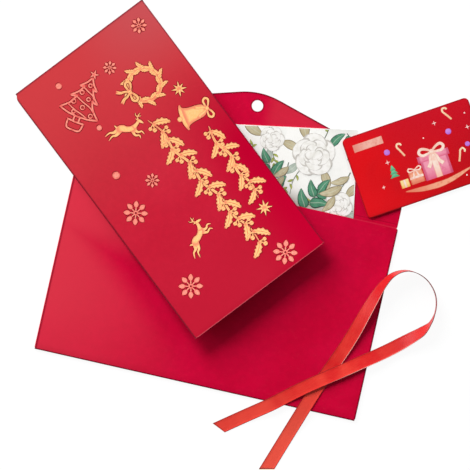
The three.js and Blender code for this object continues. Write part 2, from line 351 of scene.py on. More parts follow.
def pick_edges(test):
    """Selects, in edit mode, just the open border edges whose middle passes the test."""
    mesh = bmesh.from_edit_mesh(bpy.context.object.data)
    bpy.ops.mesh.select_all(action="DESELECT")
    for edge in mesh.edges:
        if edge.is_boundary and test((edge.verts[0].co + edge.verts[1].co) / 2):
            edge.select_set(True)
    bmesh.update_edit_mesh(bpy.context.object.data)


def fold_edges(centre, axis, steps=8):
    """Rolls the selected border edges half a turn about an axis through the centre."""
    bpy.ops.mesh.spin(steps=steps, angle=math.pi, center=centre, axis=axis)


def extend_edges(reach, rows=1):
    """Carries the selected border edges on by the reach, in even rows."""
    step = tuple(part / rows for part in reach)
    for _ in range(rows):
        bpy.ops.mesh.extrude_region_move(TRANSFORM_OT_translate={"value": step})


def squeeze_selected(share, centre):
    bpy.ops.transform.resize(value=share, center_override=centre)


def close_sheet():
    """Merges the sheet that is being edited, turns its faces outwards and leaves edit mode."""
    bpy.ops.mesh.select_all(action="SELECT")
    bpy.ops.mesh.remove_doubles(threshold=0.000001)
    bpy.ops.mesh.normals_make_consistent(inside=False)
    bpy.ops.object.mode_set(mode="OBJECT")


def apply_modifier(piece, kind, **settings):
    modifier = piece.modifiers.new(kind.lower(), kind)
    for name, value in settings.items():
        setattr(modifier, name, value)
    bpy.ops.object.modifier_apply(modifier=modifier.name)


def thicken(sheet, thickness):
    """Gives the sheet the card's thickness, half to each side, and smooths its folds."""
    close_sheet()
    apply_modifier(sheet, "SOLIDIFY", thickness=thickness, offset=0)
    bpy.ops.object.shade_smooth_by_angle(angle=math.radians(40))


side_axis_x = envelope_half_width - side_fold_radius - card_thickness / 2
bottom_axis_y = envelope_bottom + bottom_fold_radius + card_thickness / 2
sheet_middle = card_thickness / 2
pocket = add_sheet(
    "envelope_pocket", 44, 28, -side_axis_x, bottom_axis_y, side_axis_x, throat_line, sheet_middle)
pick_edges(lambda place: place.y < bottom_axis_y + tolerance)
fold_edges((0, bottom_axis_y, sheet_middle + bottom_fold_radius), (1, 0, 0))
extend_edges((0, throat_line - bottom_axis_y, 0), pocket_rows)
tab_length = throat_line - bottom_axis_y
for side in (-1, 1):
    pick_edges(lambda place: place.x * side > side_axis_x - tolerance and place.z < sheet_middle + tolerance
               and place.y > bottom_axis_y)
    fold_edges((side * side_axis_x, 0, sheet_middle + side_fold_radius), (0, side, 0))
    extend_edges((-side * tab_width, 0, 0))
    squeeze_selected((1, 1 - 2 * tab_taper / tab_length, 1), (0, bottom_axis_y + tab_length / 2, 0))
pick_edges(lambda place: place.y > throat_line - tolerance and place.z < sheet_middle + tolerance)
extend_edges((0, crease_start - throat_line, 0))

pocket_mesh = bmesh.from_edit_mesh(pocket.data)
pocket_height = sheet_middle + 2 * bottom_fold_radius
for vertex in pocket_mesh.verts:
    x, y, z = vertex.co
    folded_up = y < bottom_axis_y - tolerance or z > pocket_height - tolerance
    if folded_up and abs(x) > side_axis_x - tolerance:
        vertex.co.x += math.copysign(pocket_overhang, x)
    outward = max(0.0, abs(x) - throat_corner_start) / (envelope_half_width - throat_corner_start)
    upward = max(0.0, 1 - (throat_line - y) / (4 * throat_corner_drop))
    if y < throat_line + tolerance:
        vertex.co.y -= throat_corner_drop * outward ** 3 * upward * min(1.0, z / pocket_height)
    if z > pocket_height - tolerance and abs(x) < envelope_half_width - tab_width:
        across = math.cos(x / (envelope_half_width - tab_width) * math.pi / 2)
        upward = math.sin((y - bottom_axis_y) / (throat_line - bottom_axis_y) * math.pi)
        ripple = 0.6 + 0.4 * math.sin(x * 71 + y * 38)
        vertex.co.z -= pocket_dip * across * upward * ripple
bmesh.update_edit_mesh(pocket.data)
thicken(pocket, card_thickness)


def card_finish(name, colour, deep_colour, roughness, fibre_depth):
    """Dyed card: its colour clouds a little, fibres lie in all directions, and it has a fine tooth."""
    material, shader, coordinates = new_finish(name)
    place = coordinates["Object"]
    fibres = noise(place, 1500, 4, stretch=(1, 0.3, 1))
    cross_fibres = noise(place, 1300, 4, stretch=(0.3, 1, 1))
    tooth = noise(place, 5200, 2)
    cloudy = mix_colours(step_between(noise(place, 26, 3), 0.3, 0.7), colour, deep_colour)
    mottle = step_between(noise(place, 300, 3), 0.35, 0.65, 0.0, 0.1)
    cloudy = mix_colours(mottle, cloudy, "8C0420")
    flecks = step_between(maths("MAXIMUM", fibres, cross_fibres), 0.58, 0.78, 0.0, 0.1)
    painted = mix_colours(flecks, cloudy, mix_colours(0.5, cloudy, "FF6A78"))
    rough = step_between(tooth, 0.2, 0.8, roughness - 0.06, roughness + 0.08)
    feed(shader, {"Base Color": painted, "Roughness": rough, "Specular IOR Level": 0.04})
    finish_bump(shader, maths("ADD", maths("ADD", fibres, cross_fibres), tooth), fibre_depth)
    return material, shader, place, painted


def strip(coordinate, line, half_width, strength):
    """The share of a narrow strip of paint: the strength on its line, and 0 half its width away."""
    distance = maths("ABSOLUTE", maths("SUBTRACT", coordinate, line))
    return step_between(distance, 0.0, half_width, strength, 0.0)


def vector_maths(operation, place, vector):
    inputs = {0: place, 1: vector}
    return add_node(place.id_data, "ShaderNodeVectorMath", inputs, operation=operation).outputs["Value"]


# The crimson has a painted sheen that makes it paler to the left, clear of the packet, and on
# the right of the flap. Painted shade makes it darker along the folds, edges and crease, and a
# painted highlight runs along the pocket's throat.
crimson, crimson_shader, crimson_place, crimson_paint = card_finish(
    "crimson_card", "D6043A", "CC0133", 0.62, 0.000012)
crimson_x, crimson_y = split(crimson_place)
crimson_sheen_colour = "E0384A"
crimson_painted_shade = "6E0018"
packet_turn = math.radians(-40.4)
across_packet = (-math.sin(packet_turn), math.cos(packet_turn), 0)
packet_distance = vector_maths("DOT_PRODUCT", crimson_place, across_packet)
# The painted sheen is kept off the envelope beside the packet, where the packet's shade falls.
clear_of_packet = maths(
    "MAXIMUM", step_between(packet_distance, -0.05, -0.032, 1.0, 0.0), step_between(crimson_y, 0.0, 0.02))
painted_sheen = step_between(crimson_x, -0.1, 0.01, 0.85, 0.0)
for limit in (step_between(crimson_y, 0.04, 0.07, 1.0, 0.0),
              step_between(crimson_y, -0.056, -0.02, 0.7, 1.0), clear_of_packet):
    painted_sheen = product(painted_sheen, limit)
flap_sheen = product(step_between(crimson_x, 0.002, 0.012, 0.0, 0.4), step_between(crimson_y, 0.088, 0.1))
crimson_paint = paint_over(crimson_paint, (
    (painted_sheen, crimson_sheen_colour),
    (flap_sheen, crimson_sheen_colour),
    # Painted shade along the envelope's sides, its bottom fold and the crease.
    (strip(crimson_x, 0.0008 - envelope_half_width, 0.0010, 0.7), crimson_painted_shade),
    (strip(crimson_x, envelope_half_width, 0.0014, 0.95), crimson_painted_shade),
    (strip(crimson_y, envelope_bottom, 0.0009, 0.85), crimson_painted_shade),
    (strip(crimson_y, crease_line, 0.00045, 0.25), crimson_painted_shade),
    # A painted highlight along the pocket's throat.
    (strip(crimson_y, throat_line, 0.0005, 0.35), "E0405A")))
pocket.data.materials.append(crimson)

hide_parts("outer_back_panel", "outer_pocket_panel", "outer_bottom_fold", "outer_left_fold",
            "outer_right_fold", "outer_left_glue_tab", "outer_right_glue_tab")
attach(pocket, "outer_envelope")

# Outer envelope, its flap.
# The same sheet carried on past the scored crease: sides that run straight and then lean in to
# round shoulders, two long slopes to a round tip, and a punched hole for the ribbon.
flap_half_width = 0.0919
flap_length = 0.0553
flap_side_straight = 0.012
flap_side_bend_radius = 0.020
flap_side_lean = 0.0085
flap_shoulder_radius = 0.008
flap_tip_slope = math.radians(16.3)
flap_tip_radius = 0.041
hole_middle = (0, 0.1045)
hole_radius = 0.0032
score_depth = 0.00008
crease_end = 0.0581


def round_outline(corners, steps=12):
    """A closed outline through corners (x, y, radius), each rounded by a smooth curve."""
    outline = []
    for here, (x, y, radius) in enumerate(corners):
        corner = Vector((x, y, 0))
        if not radius:
            outline.append(corner)
            continue
        before = Vector((*corners[here - 1][:2], 0)) - corner
        after = Vector((*corners[(here + 1) % len(corners)][:2], 0)) - corner
        reach = radius / math.tan(before.angle(after) / 2)
        start = corner + before.normalized() * reach
        end = corner + after.normalized() * reach
        outline += interpolate_bezier(start, start.lerp(corner, 2 / 3), end.lerp(corner, 2 / 3), end, steps)
    return outline


def cut_sheet(name, outlines, low, thickness):
    """A flat sheet cut to closed outlines, the first its edge and the others its holes."""
    curve = bpy.data.curves.new(name, "CURVE")
    curve.dimensions = "2D"
    curve.fill_mode = "BOTH"
    curve.extrude = thickness / 2
    for outline in outlines:
        spline = curve.splines.new("POLY")
        spline.points.add(len(outline) - 1)
        for point, place in zip(spline.points, outline):
            point.co = (place[0], place[1], 0, 1)
        spline.use_cyclic_u = True
    bpy.ops.object.select_all(action="DESELECT")
    sheet = new_object(name, curve)
    sheet.select_set(True)
    bpy.context.view_layer.objects.active = sheet
    bpy.ops.object.convert(target="MESH")
    sheet = bpy.context.object
    sheet.location.z = low + thickness / 2
    bpy.ops.object.transform_apply(location=True, rotation=False, scale=False)
    bpy.ops.object.mode_set(mode="EDIT")
    close_sheet()
    return sheet


def slice_rows(sheet, places, direction):
    """Cuts the sheet across at each place along x or y, so that it can bend there."""
    bpy.ops.object.mode_set(mode="EDIT")
    for place in places:
        bpy.ops.mesh.select_all(action="SELECT")
        plane = tuple(place * part for part in direction)
        bpy.ops.mesh.bisect(plane_co=plane, plane_no=direction)
    bpy.ops.object.mode_set(mode="OBJECT")


def circle(radius, step):
    """Points round a circle, one at every step of its degrees, and the first one again at the end."""
    return [(radius * math.cos(math.radians(angle)), radius * math.sin(math.radians(angle)))
            for angle in range(0, 361, step)]


tip = crease_line + flap_length
tip_corner = tip + flap_tip_radius * math.tan(flap_tip_slope) * math.sin(flap_tip_slope) / 2
shoulder_x = flap_half_width - flap_side_lean
shoulder_y = tip_corner - shoulder_x * math.tan(flap_tip_slope)
bend_y = crease_line + flap_side_straight
flap_outline = round_outline([
    (-flap_half_width, crease_start, 0),
    (flap_half_width, crease_start, 0),
    (flap_half_width, bend_y, flap_side_bend_radius),
    (shoulder_x, shoulder_y, flap_shoulder_radius),
    (0, tip_corner, flap_tip_radius),
    (-shoulder_x, shoulder_y, flap_shoulder_radius),
    (-flap_half_width, bend_y, flap_side_bend_radius),
])
hole_outline = [(hole_middle[0] + x, hole_middle[1] + y) for x, y in circle(hole_radius, 10)[:-1]]

# Painted shade makes the card a little darker along the cut slopes and the round tip, and round the hole.
tip_middle = (0, tip_corner - flap_tip_radius / math.cos(flap_tip_slope), 0)
tip_half_width = flap_tip_radius * math.sin(flap_tip_slope)
cut_shade_width = 0.0014
cut_shade_strength = 0.95
across_flap = maths("ABSOLUTE", crimson_x)
slope_distance = maths(
    "ADD", product(across_flap, math.sin(flap_tip_slope)), product(crimson_y, math.cos(flap_tip_slope)))
tip_distance = vector_maths("DISTANCE", crimson_place, tip_middle)
hole_distance = vector_maths("DISTANCE", crimson_place, (*hole_middle, 0))
on_slope = step_between(
    across_flap, tip_half_width - 0.0002, tip_half_width + 0.0002, 0.0, cut_shade_strength)
on_tip = product(
    maths("SUBTRACT", cut_shade_strength, on_slope),
    step_between(crimson_y, tip_middle[1], tip_middle[1] + 0.02))
crimson_paint = paint_over(crimson_paint, (
    (strip(slope_distance, tip_corner * math.cos(flap_tip_slope), cut_shade_width, on_slope), crimson_painted_shade),
    (strip(tip_distance, flap_tip_radius, cut_shade_width, on_tip), crimson_painted_shade),
    (strip(hole_distance, hole_radius, 0.0013, 0.7), crimson_painted_shade)))
feed(crimson_shader, {"Base Color": crimson_paint})

flap = cut_sheet("envelope_flap_sheet", [flap_outline, hole_outline], 0, card_thickness)
slice_rows(flap, [crease_start + 0.0004 * row for row in range(1, 8)] + [crease_end], (0, 1, 0))
for vertex in flap.data.vertices:
    if abs(vertex.co.y - crease_line) < 0.0001 and vertex.co.z > sheet_middle:
        vertex.co.z -= score_depth
flap.data.materials.append(crimson)

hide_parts("outer_flap")
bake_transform(flap)

# Money packet, its sleeve.
# One sheet of coated, printed card: the front panel, a long fold to the back panel, the seam tab
# inside and the end tab glued behind the lower end. That end has curled up off the envelope.
packet_middle = (-0.0403, 0.0587, 0)
packet_half_length = 0.08575
packet_half_width = 0.0455
packet_corner_radius = 0.0045
packet_low = 0.002
packet_top = 0.0036
packet_curl_length = 0.105
packet_curl_height = 0.009
seam_tab_width = 0.012
seam_tab_middle = 0.0025
end_tab_length = 0.012
end_tab_inset = 0.002
end_tab_middle = 0.0018
back_edge_inset = 0.0009


def packet_rise(along):
    """How far the packet has curled up at a place along it, from its middle."""
    share = max(0.0, along + packet_curl_length - packet_half_length) / packet_curl_length
    return packet_curl_height * share * share


def round_worn_corner(piece):
    """Draws in the left corner of the packet's upper end, so that it is round instead of sharp."""
    for vertex in piece.data.vertices:
        out_x = packet_corner_radius - packet_half_length - vertex.co.x
        out_y = packet_corner_radius - packet_half_width - vertex.co.y
        if out_x > 0 and out_y > 0:
            pull = max(out_x, out_y) / math.hypot(out_x, out_y)
            vertex.co.x += out_x * (1 - pull)
            vertex.co.y += out_y * (1 - pull)


def placed(middle, turn):
    """The move that turns a thing flat on the table and then takes it to its middle."""
    return Matrix.Translation(middle) @ Matrix.Rotation(turn, 4, "Z")


def lay_on_packet(piece):
    """Takes a piece drawn flat along x and y to its place on the curled, turned packet."""
    for vertex in piece.data.vertices:
        vertex.co.z += packet_rise(vertex.co.x)
    piece.data.transform(placed(packet_middle, packet_turn))


front_middle = packet_top - card_thickness / 2
back_middle = packet_low + card_thickness / 2
long_radius = (front_middle - back_middle) / 2
seam_radius = (front_middle - seam_tab_middle) / 2
end_radius = (front_middle - end_tab_middle) / 2
long_axis_y = packet_half_width - long_radius - card_thickness / 2
end_axis_x = packet_half_length - end_radius - card_thickness / 2
packet = add_sheet(
    "packet_sleeve", 104, 56, -packet_half_length, -long_axis_y, end_axis_x, long_axis_y, front_middle)
pick_edges(lambda place: place.x > end_axis_x - tolerance)
fold_edges((end_axis_x, 0, front_middle - end_radius), (0, 1, 0))
extend_edges((-end_tab_length, 0, 0), 4)
squeeze_selected((1, 1 - end_tab_inset / packet_half_width, 1), (0, 0, 0))
pick_edges(lambda place: place.y > long_axis_y - tolerance and place.z > front_middle - tolerance)
fold_edges((0, long_axis_y, front_middle - long_radius), (-1, 0, 0))
extend_edges((0, back_edge_inset - 2 * packet_half_width, 0), 12)
pick_edges(lambda place: place.y < -long_axis_y + tolerance and place.z > front_middle - tolerance)
fold_edges((0, -long_axis_y, front_middle - seam_radius), (1, 0, 0))
extend_edges((0, seam_tab_width, 0), 2)
thicken(packet, card_thickness)
round_worn_corner(packet)
lay_on_packet(packet)

# The print is painted paler toward the upper end, a painted light, and greyer toward its left
# corner, a painted shade. Painted shade also deepens it toward the lower end and on one side of
# its lower half, with less gloss there. Painted shade darkens the upper end and the long edges,
# and a painted highlight runs along the lower end's fold.
printed, printed_shader, printed_place, printed_paint = card_finish(
    "printed_card", "CA1A36", "C51431", 0.5, 0.000005)
for change in ({"Location": tuple(-part for part in packet_middle)}, {"Rotation": (0, 0, -packet_turn)}):
    mapping = add_node(printed.node_tree, "ShaderNodeMapping", {"Vector": printed_place, **change})
    printed_place = mapping.outputs[0]
printed_x, printed_y = split(printed_place)
printed_edge_shade = "6A1428"
painted_deep_shade = product(step_between(printed_x, -0.05, 0.02), step_between(printed_y, 0.005, 0.043))
painted_grey_shade = product(step_between(printed_x, -0.085, -0.035, 0.7, 0.0), step_between(printed_y, -0.01, 0.045))
# Painted light toward the upper end, painted shade toward the left corner and the lower end, painted shade
# along the edges and a painted highlight on the lower end's fold.
printed_paint = paint_over(printed_paint, (
    (step_between(printed_x, -0.085, 0.03, 0.85, 0.0), "D03F42"),
    (step_between(printed_x, 0.0, 0.085, 0.0, 0.8), "B20428"),
    (painted_grey_shade, "C4555A"),
    (painted_deep_shade, "BC002C"),
    (strip(printed_x, -packet_half_length, 0.0015, 0.8), printed_edge_shade),
    (strip(printed_y, packet_half_width - 0.0006, 0.0012, 0.8), printed_edge_shade),
    (strip(printed_y, -packet_half_width, 0.0014, 0.8), printed_edge_shade),
    (strip(printed_x, packet_half_length, 0.0015, 0.85), "F48A96")))
feed(printed_shader, {
    "Base Color": printed_paint, "Specular IOR Level": maths("SUBTRACT", 0.12, product(painted_deep_shade, 0.11))})
packet.data.materials.append(printed)

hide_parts("packet_front_panel", "packet_back_panel", "packet_left_fold", "packet_right_fold",
            "packet_end_fold", "packet_end_tab", "packet_seam_tab")
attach(packet, "money_packet")

# Foil garlands, wreath and bell.
# Gold foil pressed on the packet's front with a warm die: a wreath and a bell, each with a garland
# of holly leaves and berries after it. The foil turns to coral along the edge of every stroke.
mm = 0.001
foil_thickness = 0.00004
stroke_lift = 0.0000012
print_shift = (-0.24, -1.26)


def value_along(values, share):
    """The value at a share of the way through evenly spread values."""
    place = share * (len(values) - 1)
    here = min(int(place), len(values) - 2)
    return values[here] + (values[here + 1] - values[here]) * (place - here)


def stroke(path, widths, level=0, steps=6):
    """The plan of a flat stroke along a path in millimetres: its widths are spread evenly along it,
    steps smooths it, and a stroke with a higher level lies on a lower one."""
    return path, widths, level, steps


def disc(middle, diameter, level=0):
    """The plan of a round spot, as a short stroke, so that its edge is drawn like the others'."""
    reach = diameter / 2
    path = [(middle[0], middle[1] - reach + diameter * part / 6) for part in range(7)]
    widths = [diameter * math.sin(math.acos(1 - part / 6)) for part in range(13)]
    return stroke(path, widths, level, 2)


def turned(path, middle, angle, scale=1.0):
    """The path turned by the angle in degrees, scaled and moved to the middle."""
    cosine, sine = math.cos(math.radians(angle)) * scale, math.sin(math.radians(angle)) * scale
    return [(middle[0] + x * cosine - y * sine, middle[1] + x * sine + y * cosine) for x, y in path]


def draw_stroke(path, widths, level, steps, spread):
    """Draws one stroke from its plan, wider by the spread. Its UV map runs across and along it."""
    line = smooth_path([Vector((x, y, 0)) * mm for x, y in path], steps)
    rows = len(line) - 1
    bpy.ops.mesh.primitive_grid_add(x_subdivisions=4, y_subdivisions=rows, size=1)
    drawn = bpy.context.object
    for vertex in drawn.data.vertices:
        across, row = vertex.co.x, round((vertex.co.y + 0.5) * rows)
        along = (line[min(row + 1, rows)] - line[max(row - 1, 0)]).normalized()
        side = Vector((along.y, -along.x, 0))
        vertex.co = line[row] + side * across * (value_along(widths, row / rows) + spread) * mm
        vertex.co.z = level * stroke_lift
    return drawn


def draw_strokes(name, strokes, thickness, spread=0.0):
    """Draws the strokes as one piece with the thickness of the foil or ink."""
    drawn = [draw_stroke(*plan, spread) for plan in strokes]
    for part in drawn:
        part.select_set(True)
    bpy.context.view_layer.objects.active = drawn[0]
    bpy.ops.object.join()
    piece = bpy.context.object
    piece.name = name
    apply_modifier(piece, "SOLIDIFY", thickness=thickness, offset=1)
    return piece


holly_widths = [0.5, 2.6, 1.9, 4.1, 2.6, 4.4, 2.5, 3.4, 1.5, 1.9, 0.2]
leaf_path = [(0, 0), (2.4, 0.5), (5.2, 0.6), (8.0, 0.1), (9.6, -0.7)]


def holly_leaf(middle, angle, size=1.0, level=1):
    path = turned(leaf_path, middle, angle, size)
    return stroke(path, [width * size for width in holly_widths], level)


def garland(spine, leaf_size, spacing):
    """A stem with a leaf to each side in turn and a pair of berries by each leaf."""
    line = smooth_path([Vector((x, y, 0)) for x, y in spine], 8)
    strokes = [stroke(spine, [0.5, 1.5, 1.6, 1.6, 1.5, 1.3, 0.4])]
    run, side = spacing / 2, 1
    for before, after in zip(line, line[1:]):
        run += (after - before).length
        if run < spacing:
            continue
        run -= spacing
        heading = math.degrees(math.atan2(after.y - before.y, after.x - before.x))
        strokes.append(holly_leaf(after[:2], heading + side * 46, leaf_size, len(strokes)))
        for turn, reach, size in ((-40, 3.6, 2.6), (-84, 3.2, 2.3)):
            angle = math.radians(heading + side * turn)
            place = (after.x + reach * math.cos(angle), after.y + reach * math.sin(angle))
            strokes.append(stroke([after[:2], place], [0.7, 0.7], len(strokes)))
            strokes.append(disc(place, size, len(strokes)))
        side = -side
    return strokes


wreath_middle = (-46.5, 18.5)
wreath_radius = 9.2
wreath_bow_angle = 262
wreath = [stroke(turned(circle(wreath_radius, 15), wreath_middle, 0), [2.6, 2.6], 0, 3)]
for number in range(20):
    angle = wreath_bow_angle + 16 + number * 17.2
    lean = 62 if number % 2 else 118
    root = turned([(wreath_radius, 0)], wreath_middle, angle)[0]
    wreath.append(holly_leaf(root, angle + lean, 0.64 if number % 2 else 0.54, len(wreath)))
    if number % 4 == 1:
        berry = turned([(wreath_radius + 0.6, 0)], wreath_middle, angle + 9)[0]
        wreath.append(disc(berry, 2.2, len(wreath) + 20))
bow_root = turned([(wreath_radius, 0)], wreath_middle, wreath_bow_angle)[0]
bow_loop = [(0, 0), (2.2, 1.7), (4.9, 2.6), (6.3, 1.1), (5.0, -0.6), (2.3, -0.5), (0, 0)]
bow_tail = [(0, 0), (1.6, -2.4), (2.2, -5.0), (3.8, -7.2)]


def bow(root, angle, scale, level):
    """Two loops, two tails and a knot."""
    strokes = []
    for mirror in (1, -1):
        for path, widths in ((bow_tail, (0.9, 1.5, 2.2)), (bow_loop, (1.0, 1.5, 1.5, 1.0))):
            drawn = turned([(x * mirror, y) for x, y in path], root, angle, scale)
            strokes.append(stroke(drawn, [width * scale for width in widths], level + len(strokes)))
    return strokes + [disc(root, 2.6 * scale, level + 4)]


wreath += bow(bow_root, wreath_bow_angle + 90, 0.95, 50)

bell_middle = (-16.5, 31.5)
bell_turn = -14
bell_axis = turned([(0, 6.6), (0, 4.2), (0, 0), (0, -3.6), (0, -6.2)], bell_middle, bell_turn)
bell_rim = turned([(-7.4, -6.4), (-3.8, -7.1), (0, -7.3), (3.8, -7.1), (7.4, -6.4)], bell_middle, bell_turn)
bell = [
    stroke(bell_axis, [2.6, 6.0, 7.4, 8.0, 8.4, 9.0, 10.2, 12.8], 0),
    stroke(bell_rim, [1.0, 2.2, 2.4, 2.2, 1.0], 1),
    disc(turned([(0, -9.0)], bell_middle, bell_turn)[0], 3.0, 2),
]
bell += bow(turned([(0, 7.4)], bell_middle, bell_turn)[0], bell_turn, 0.9, 4)

long_spine = [(-29, 8.0), (-18, 11.0), (-7, 9.6), (5, 12.8), (17, 11.6), (29, 15.0), (41, 14.2), (53, 17.6),
              (65, 17.2)]
short_spine = [(-6, 33.4), (4, 31.2), (14, 33.6), (24, 31.2), (34, 33.2), (43, 31.6)]


def foil_finish(name, colour, edge_colour, vein=0.0):
    """Pressed foil with a soft lustre. It is thinner along a stroke's edges, and on a leaf along
    its middle, and the warm lacquer below shows there."""
    material, shader, coordinates = new_finish(name)
    across, along = (maths("ABSOLUTE", maths("SUBTRACT", part, 0.5)) for part in split(coordinates["UV"]))
    grain = noise(coordinates["Object"], 1800, 3)
    brushed = mix_colours(step_between(grain, 0.3, 0.75, 0.0, 0.25), colour, "FFF0C8")
    painted = mix_colours(step_between(maths("MAXIMUM", across, along), 0.26, 0.44), brushed, edge_colour)
    if vein:
        painted = mix_colours(step_between(across, 0.02, 0.09, vein, 0.0), painted, "D8543F")
    rough = step_between(grain, 0.2, 0.8, 0.3, 0.5)
    feed(shader, {"Base Color": painted, "Metallic": 0.15, "Roughness": rough})
    finish_bump(shader, grain, 0.000006)
    return material


gold_foil = foil_finish("gold_foil", "FFC272", "F68C66")
gold_leaf_foil = foil_finish("gold_leaf_foil", "FFC272", "F89468", 0.8)
coral_foil = foil_finish("coral_foil", "F67D6F", "EA6258")
# A dark card colour for the painted rim of shade round each foil stroke.
foil_shade_card = card_finish("foil_shade_card", "740810", "64060E", 0.5, 0.000005)[0]
shade_rim_spread = 0.7
shade_rim_thickness = 0.00001


def press_foil(name, strokes, material, slot, middle=(0, 0), turn=0.0, scale=1.0):
    """Presses strokes drawn about their own middle on the packet. Round the foil lies a rim
    of painted shade: a darker copy of the strokes, a little wider."""
    foil = draw_strokes(name, strokes, foil_thickness)
    rim = draw_strokes(name + "_rim", strokes, shade_rim_thickness, shade_rim_spread / scale)
    shifted = Vector((middle[0] + print_shift[0], middle[1] + print_shift[1], 0)) * mm
    place = Matrix.Translation((0, 0, packet_top)) @ placed(shifted, math.radians(turn))
    for piece, finish, material_slot in ((foil, material, slot), (rim, foil_shade_card, "printed_red_card")):
        piece.data.materials.append(finish)
        piece.data.transform(place @ Matrix.Diagonal((scale, scale, 1, 1)))
        lay_on_packet(piece)
        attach(piece, "money_packet")


press_foil("foil_wreath", wreath, gold_leaf_foil, "gold_foil")
press_foil("foil_bell", bell, gold_foil, "gold_foil")
press_foil("foil_long_garland", garland(long_spine, 1.02, 6.0), gold_leaf_foil, "gold_foil")
press_foil("foil_short_garland", garland(short_spine, 0.95, 6.0), gold_leaf_foil, "gold_foil")

# Foil stars, dots, snowflakes, deer and tree.
# Smaller ornaments pressed with the same die in gold and coral foil: eight-pointed stars, dots,
# snowflakes of eight drops round a hub, two leaping deer, and a fir tree drawn in thin lines.
stars = []
for middle, reach in (((-32.7, 32.6), 4.4), ((49.5, 30.9), 4.6)):
    for ray in range(8):
        path = turned([(0, 0), (reach * (1.0 if ray % 2 else 0.86), 0)], middle, 20 + ray * 45)
        stars.append(stroke(path, [2.5, 1.5, 0.7, 0.1], ray))
press_foil("foil_stars", stars, gold_foil, "gold_foil")

dots = [disc((-74.5, -20.6), 3.6), disc((-42.1, -16.4), 3.2), disc((-15, -24.8), 4.4)]
press_foil("foil_dots", dots, coral_foil, "coral_foil")


def snowflake(middle, reach, turn):
    """Eight drops on thin spokes round a small hub ring."""
    line_widths = [0.11 * reach, 0.11 * reach]
    drop_widths = [part * reach for part in (0.10, 0.24, 0.37, 0.42, 0.37, 0.22, 0.04)]
    strokes = [stroke(turned(circle(0.14, 45), middle, turn, reach), line_widths, 0, 3)]
    for petal in range(8):
        angle = turn + petal * 45
        spoke = turned([(0.16, 0), (0.52, 0)], middle, angle, reach)
        drop = turned([(0.44, 0), (0.6, 0), (0.8, 0), (1.0, 0)], middle, angle, reach)
        strokes.append(stroke(spoke, line_widths, 1 + petal, 3))
        strokes.append(stroke(drop, drop_widths, 9 + petal, 4))
    return strokes


snowflakes = []
for middle, reach, turn in (
        ((-74.8, 35.9), 4.6, 12), ((-65.6, 8.6), 3.9, 6), ((-0.6, -10.2), 4.1, 8),
        ((8.5, -28.7), 6.9, 5), ((59.9, -28.5), 6.9, 9), ((76.4, 25.3), 6.9, 4)):
    snowflakes += snowflake(middle, reach, turn)
press_foil("foil_snowflakes", snowflakes, coral_foil, "coral_foil")


def leaping_deer():
    """A deer in mid-leap seen from the side, its nose to +x, as strokes for body, limbs and antlers."""
    limbs = [
        ([(-6.2, 0.4), (-3.2, 1.3), (0, 0.9), (3.2, 1.5), (5.4, 3.0)], [2.4, 4.2, 4.4, 3.6, 3.5, 3.9, 2.4]),
        ([(3.8, 2.0), (5.8, 4.4), (6.9, 6.6)], [3.2, 2.2, 1.7]),
        ([(6.2, 6.9), (7.9, 6.5), (10.1, 5.4)], [1.7, 2.0, 0.8]),
        ([(6.6, 7.0), (5.0, 7.9)], [1.1, 0.2]),
        ([(6.7, 7.2), (6.3, 9.3), (7.6, 11.6)], [0.9, 0.8, 0.4]),
        ([(6.5, 8.6), (4.9, 10.2), (4.8, 11.4)], [0.7, 0.5, 0.3]),
        ([(6.6, 9.4), (8.4, 9.9)], [0.7, 0.3]),
        ([(4.4, 1.2), (7.0, -0.4), (9.4, 0.2), (11.0, -1.4)], [2.6, 1.5, 1.0, 0.7]),
        ([(3.4, 0.4), (5.4, -2.4), (8.0, -2.4), (9.0, -4.2)], [2.4, 1.4, 1.0, 0.7]),
        ([(-5.2, 0.4), (-8.0, -1.6), (-10.6, -2.0), (-13.2, -4.4)], [3.6, 1.9, 1.1, 0.7]),
        ([(-4.4, -0.2), (-6.4, -3.2), (-8.8, -4.0), (-10.8, -6.8)], [3.4, 1.8, 1.1, 0.7]),
        ([(-6.2, 1.3), (-7.9, 2.8)], [1.6, 0.5]),
    ]
    return [stroke(path, widths, level) for level, (path, widths) in enumerate(limbs)]


press_foil("foil_deer_left", leaping_deer(), gold_foil, "gold_foil", (-31.5, -5.0), 50, 0.9)
press_foil("foil_deer_right", leaping_deer(), gold_foil, "gold_foil", (41.0, -8.0), 112, 0.88)

tree_line = 1.15
tree_direction = (-0.52, 0.854)
tree_sides = [
    [(0, 15.2), (-2.2, 11.4), (-5.6, 8.0)], [(-5.6, 8.0), (-3.8, 8.2), (-2.6, 9.0)],
    [(-2.6, 9.0), (-4.8, 4.6), (-8.8, 0.8)], [(-8.8, 0.8), (-6.6, 1.0), (-4.8, 2.0)],
    [(-4.8, 2.0), (-7.4, -3.4), (-12.2, -8.0)], [(-12.2, -8.0), (-6.4, -9.6), (0, -10.1)],
    [(-1.7, -10.0), (-1.7, -13.2)], [(-5.0, -13.2), (-4.0, -18.0), (0, -18.6)], [(-5.4, -13.2), (0, -13.6)],
]
tree = []
for mirror in (1, -1):
    for line in tree_sides:
        tree.append(stroke([(x * mirror, y) for x, y in line], [tree_line, tree_line], len(tree), 8))
tree_chains = [
    [(-4.2, 8.6), (0, 6.6), (4.0, 4.9), (5.6, 2.6)],
    [(-6.6, 2.0), (-1.0, -0.4), (5.0, -2.4), (8.4, -4.8)],
    [(-8.6, -4.6), (-3.0, -6.8), (2.0, -8.0), (5.4, -9.2)],
]
for line in tree_chains:
    tree.append(stroke(line, [tree_line * 0.8, tree_line * 0.8], len(tree), 8))
tree_balls = [
    ((0.4, 10.2), 1.6), ((-2.8, 4.6), 1.8), ((2.4, 2.0), 1.7), ((-5.6, -2.2), 1.9), ((0.8, -3.8), 1.9),
    ((7.2, -7.0), 1.8), ((-3.4, -8.0), 1.6),
]
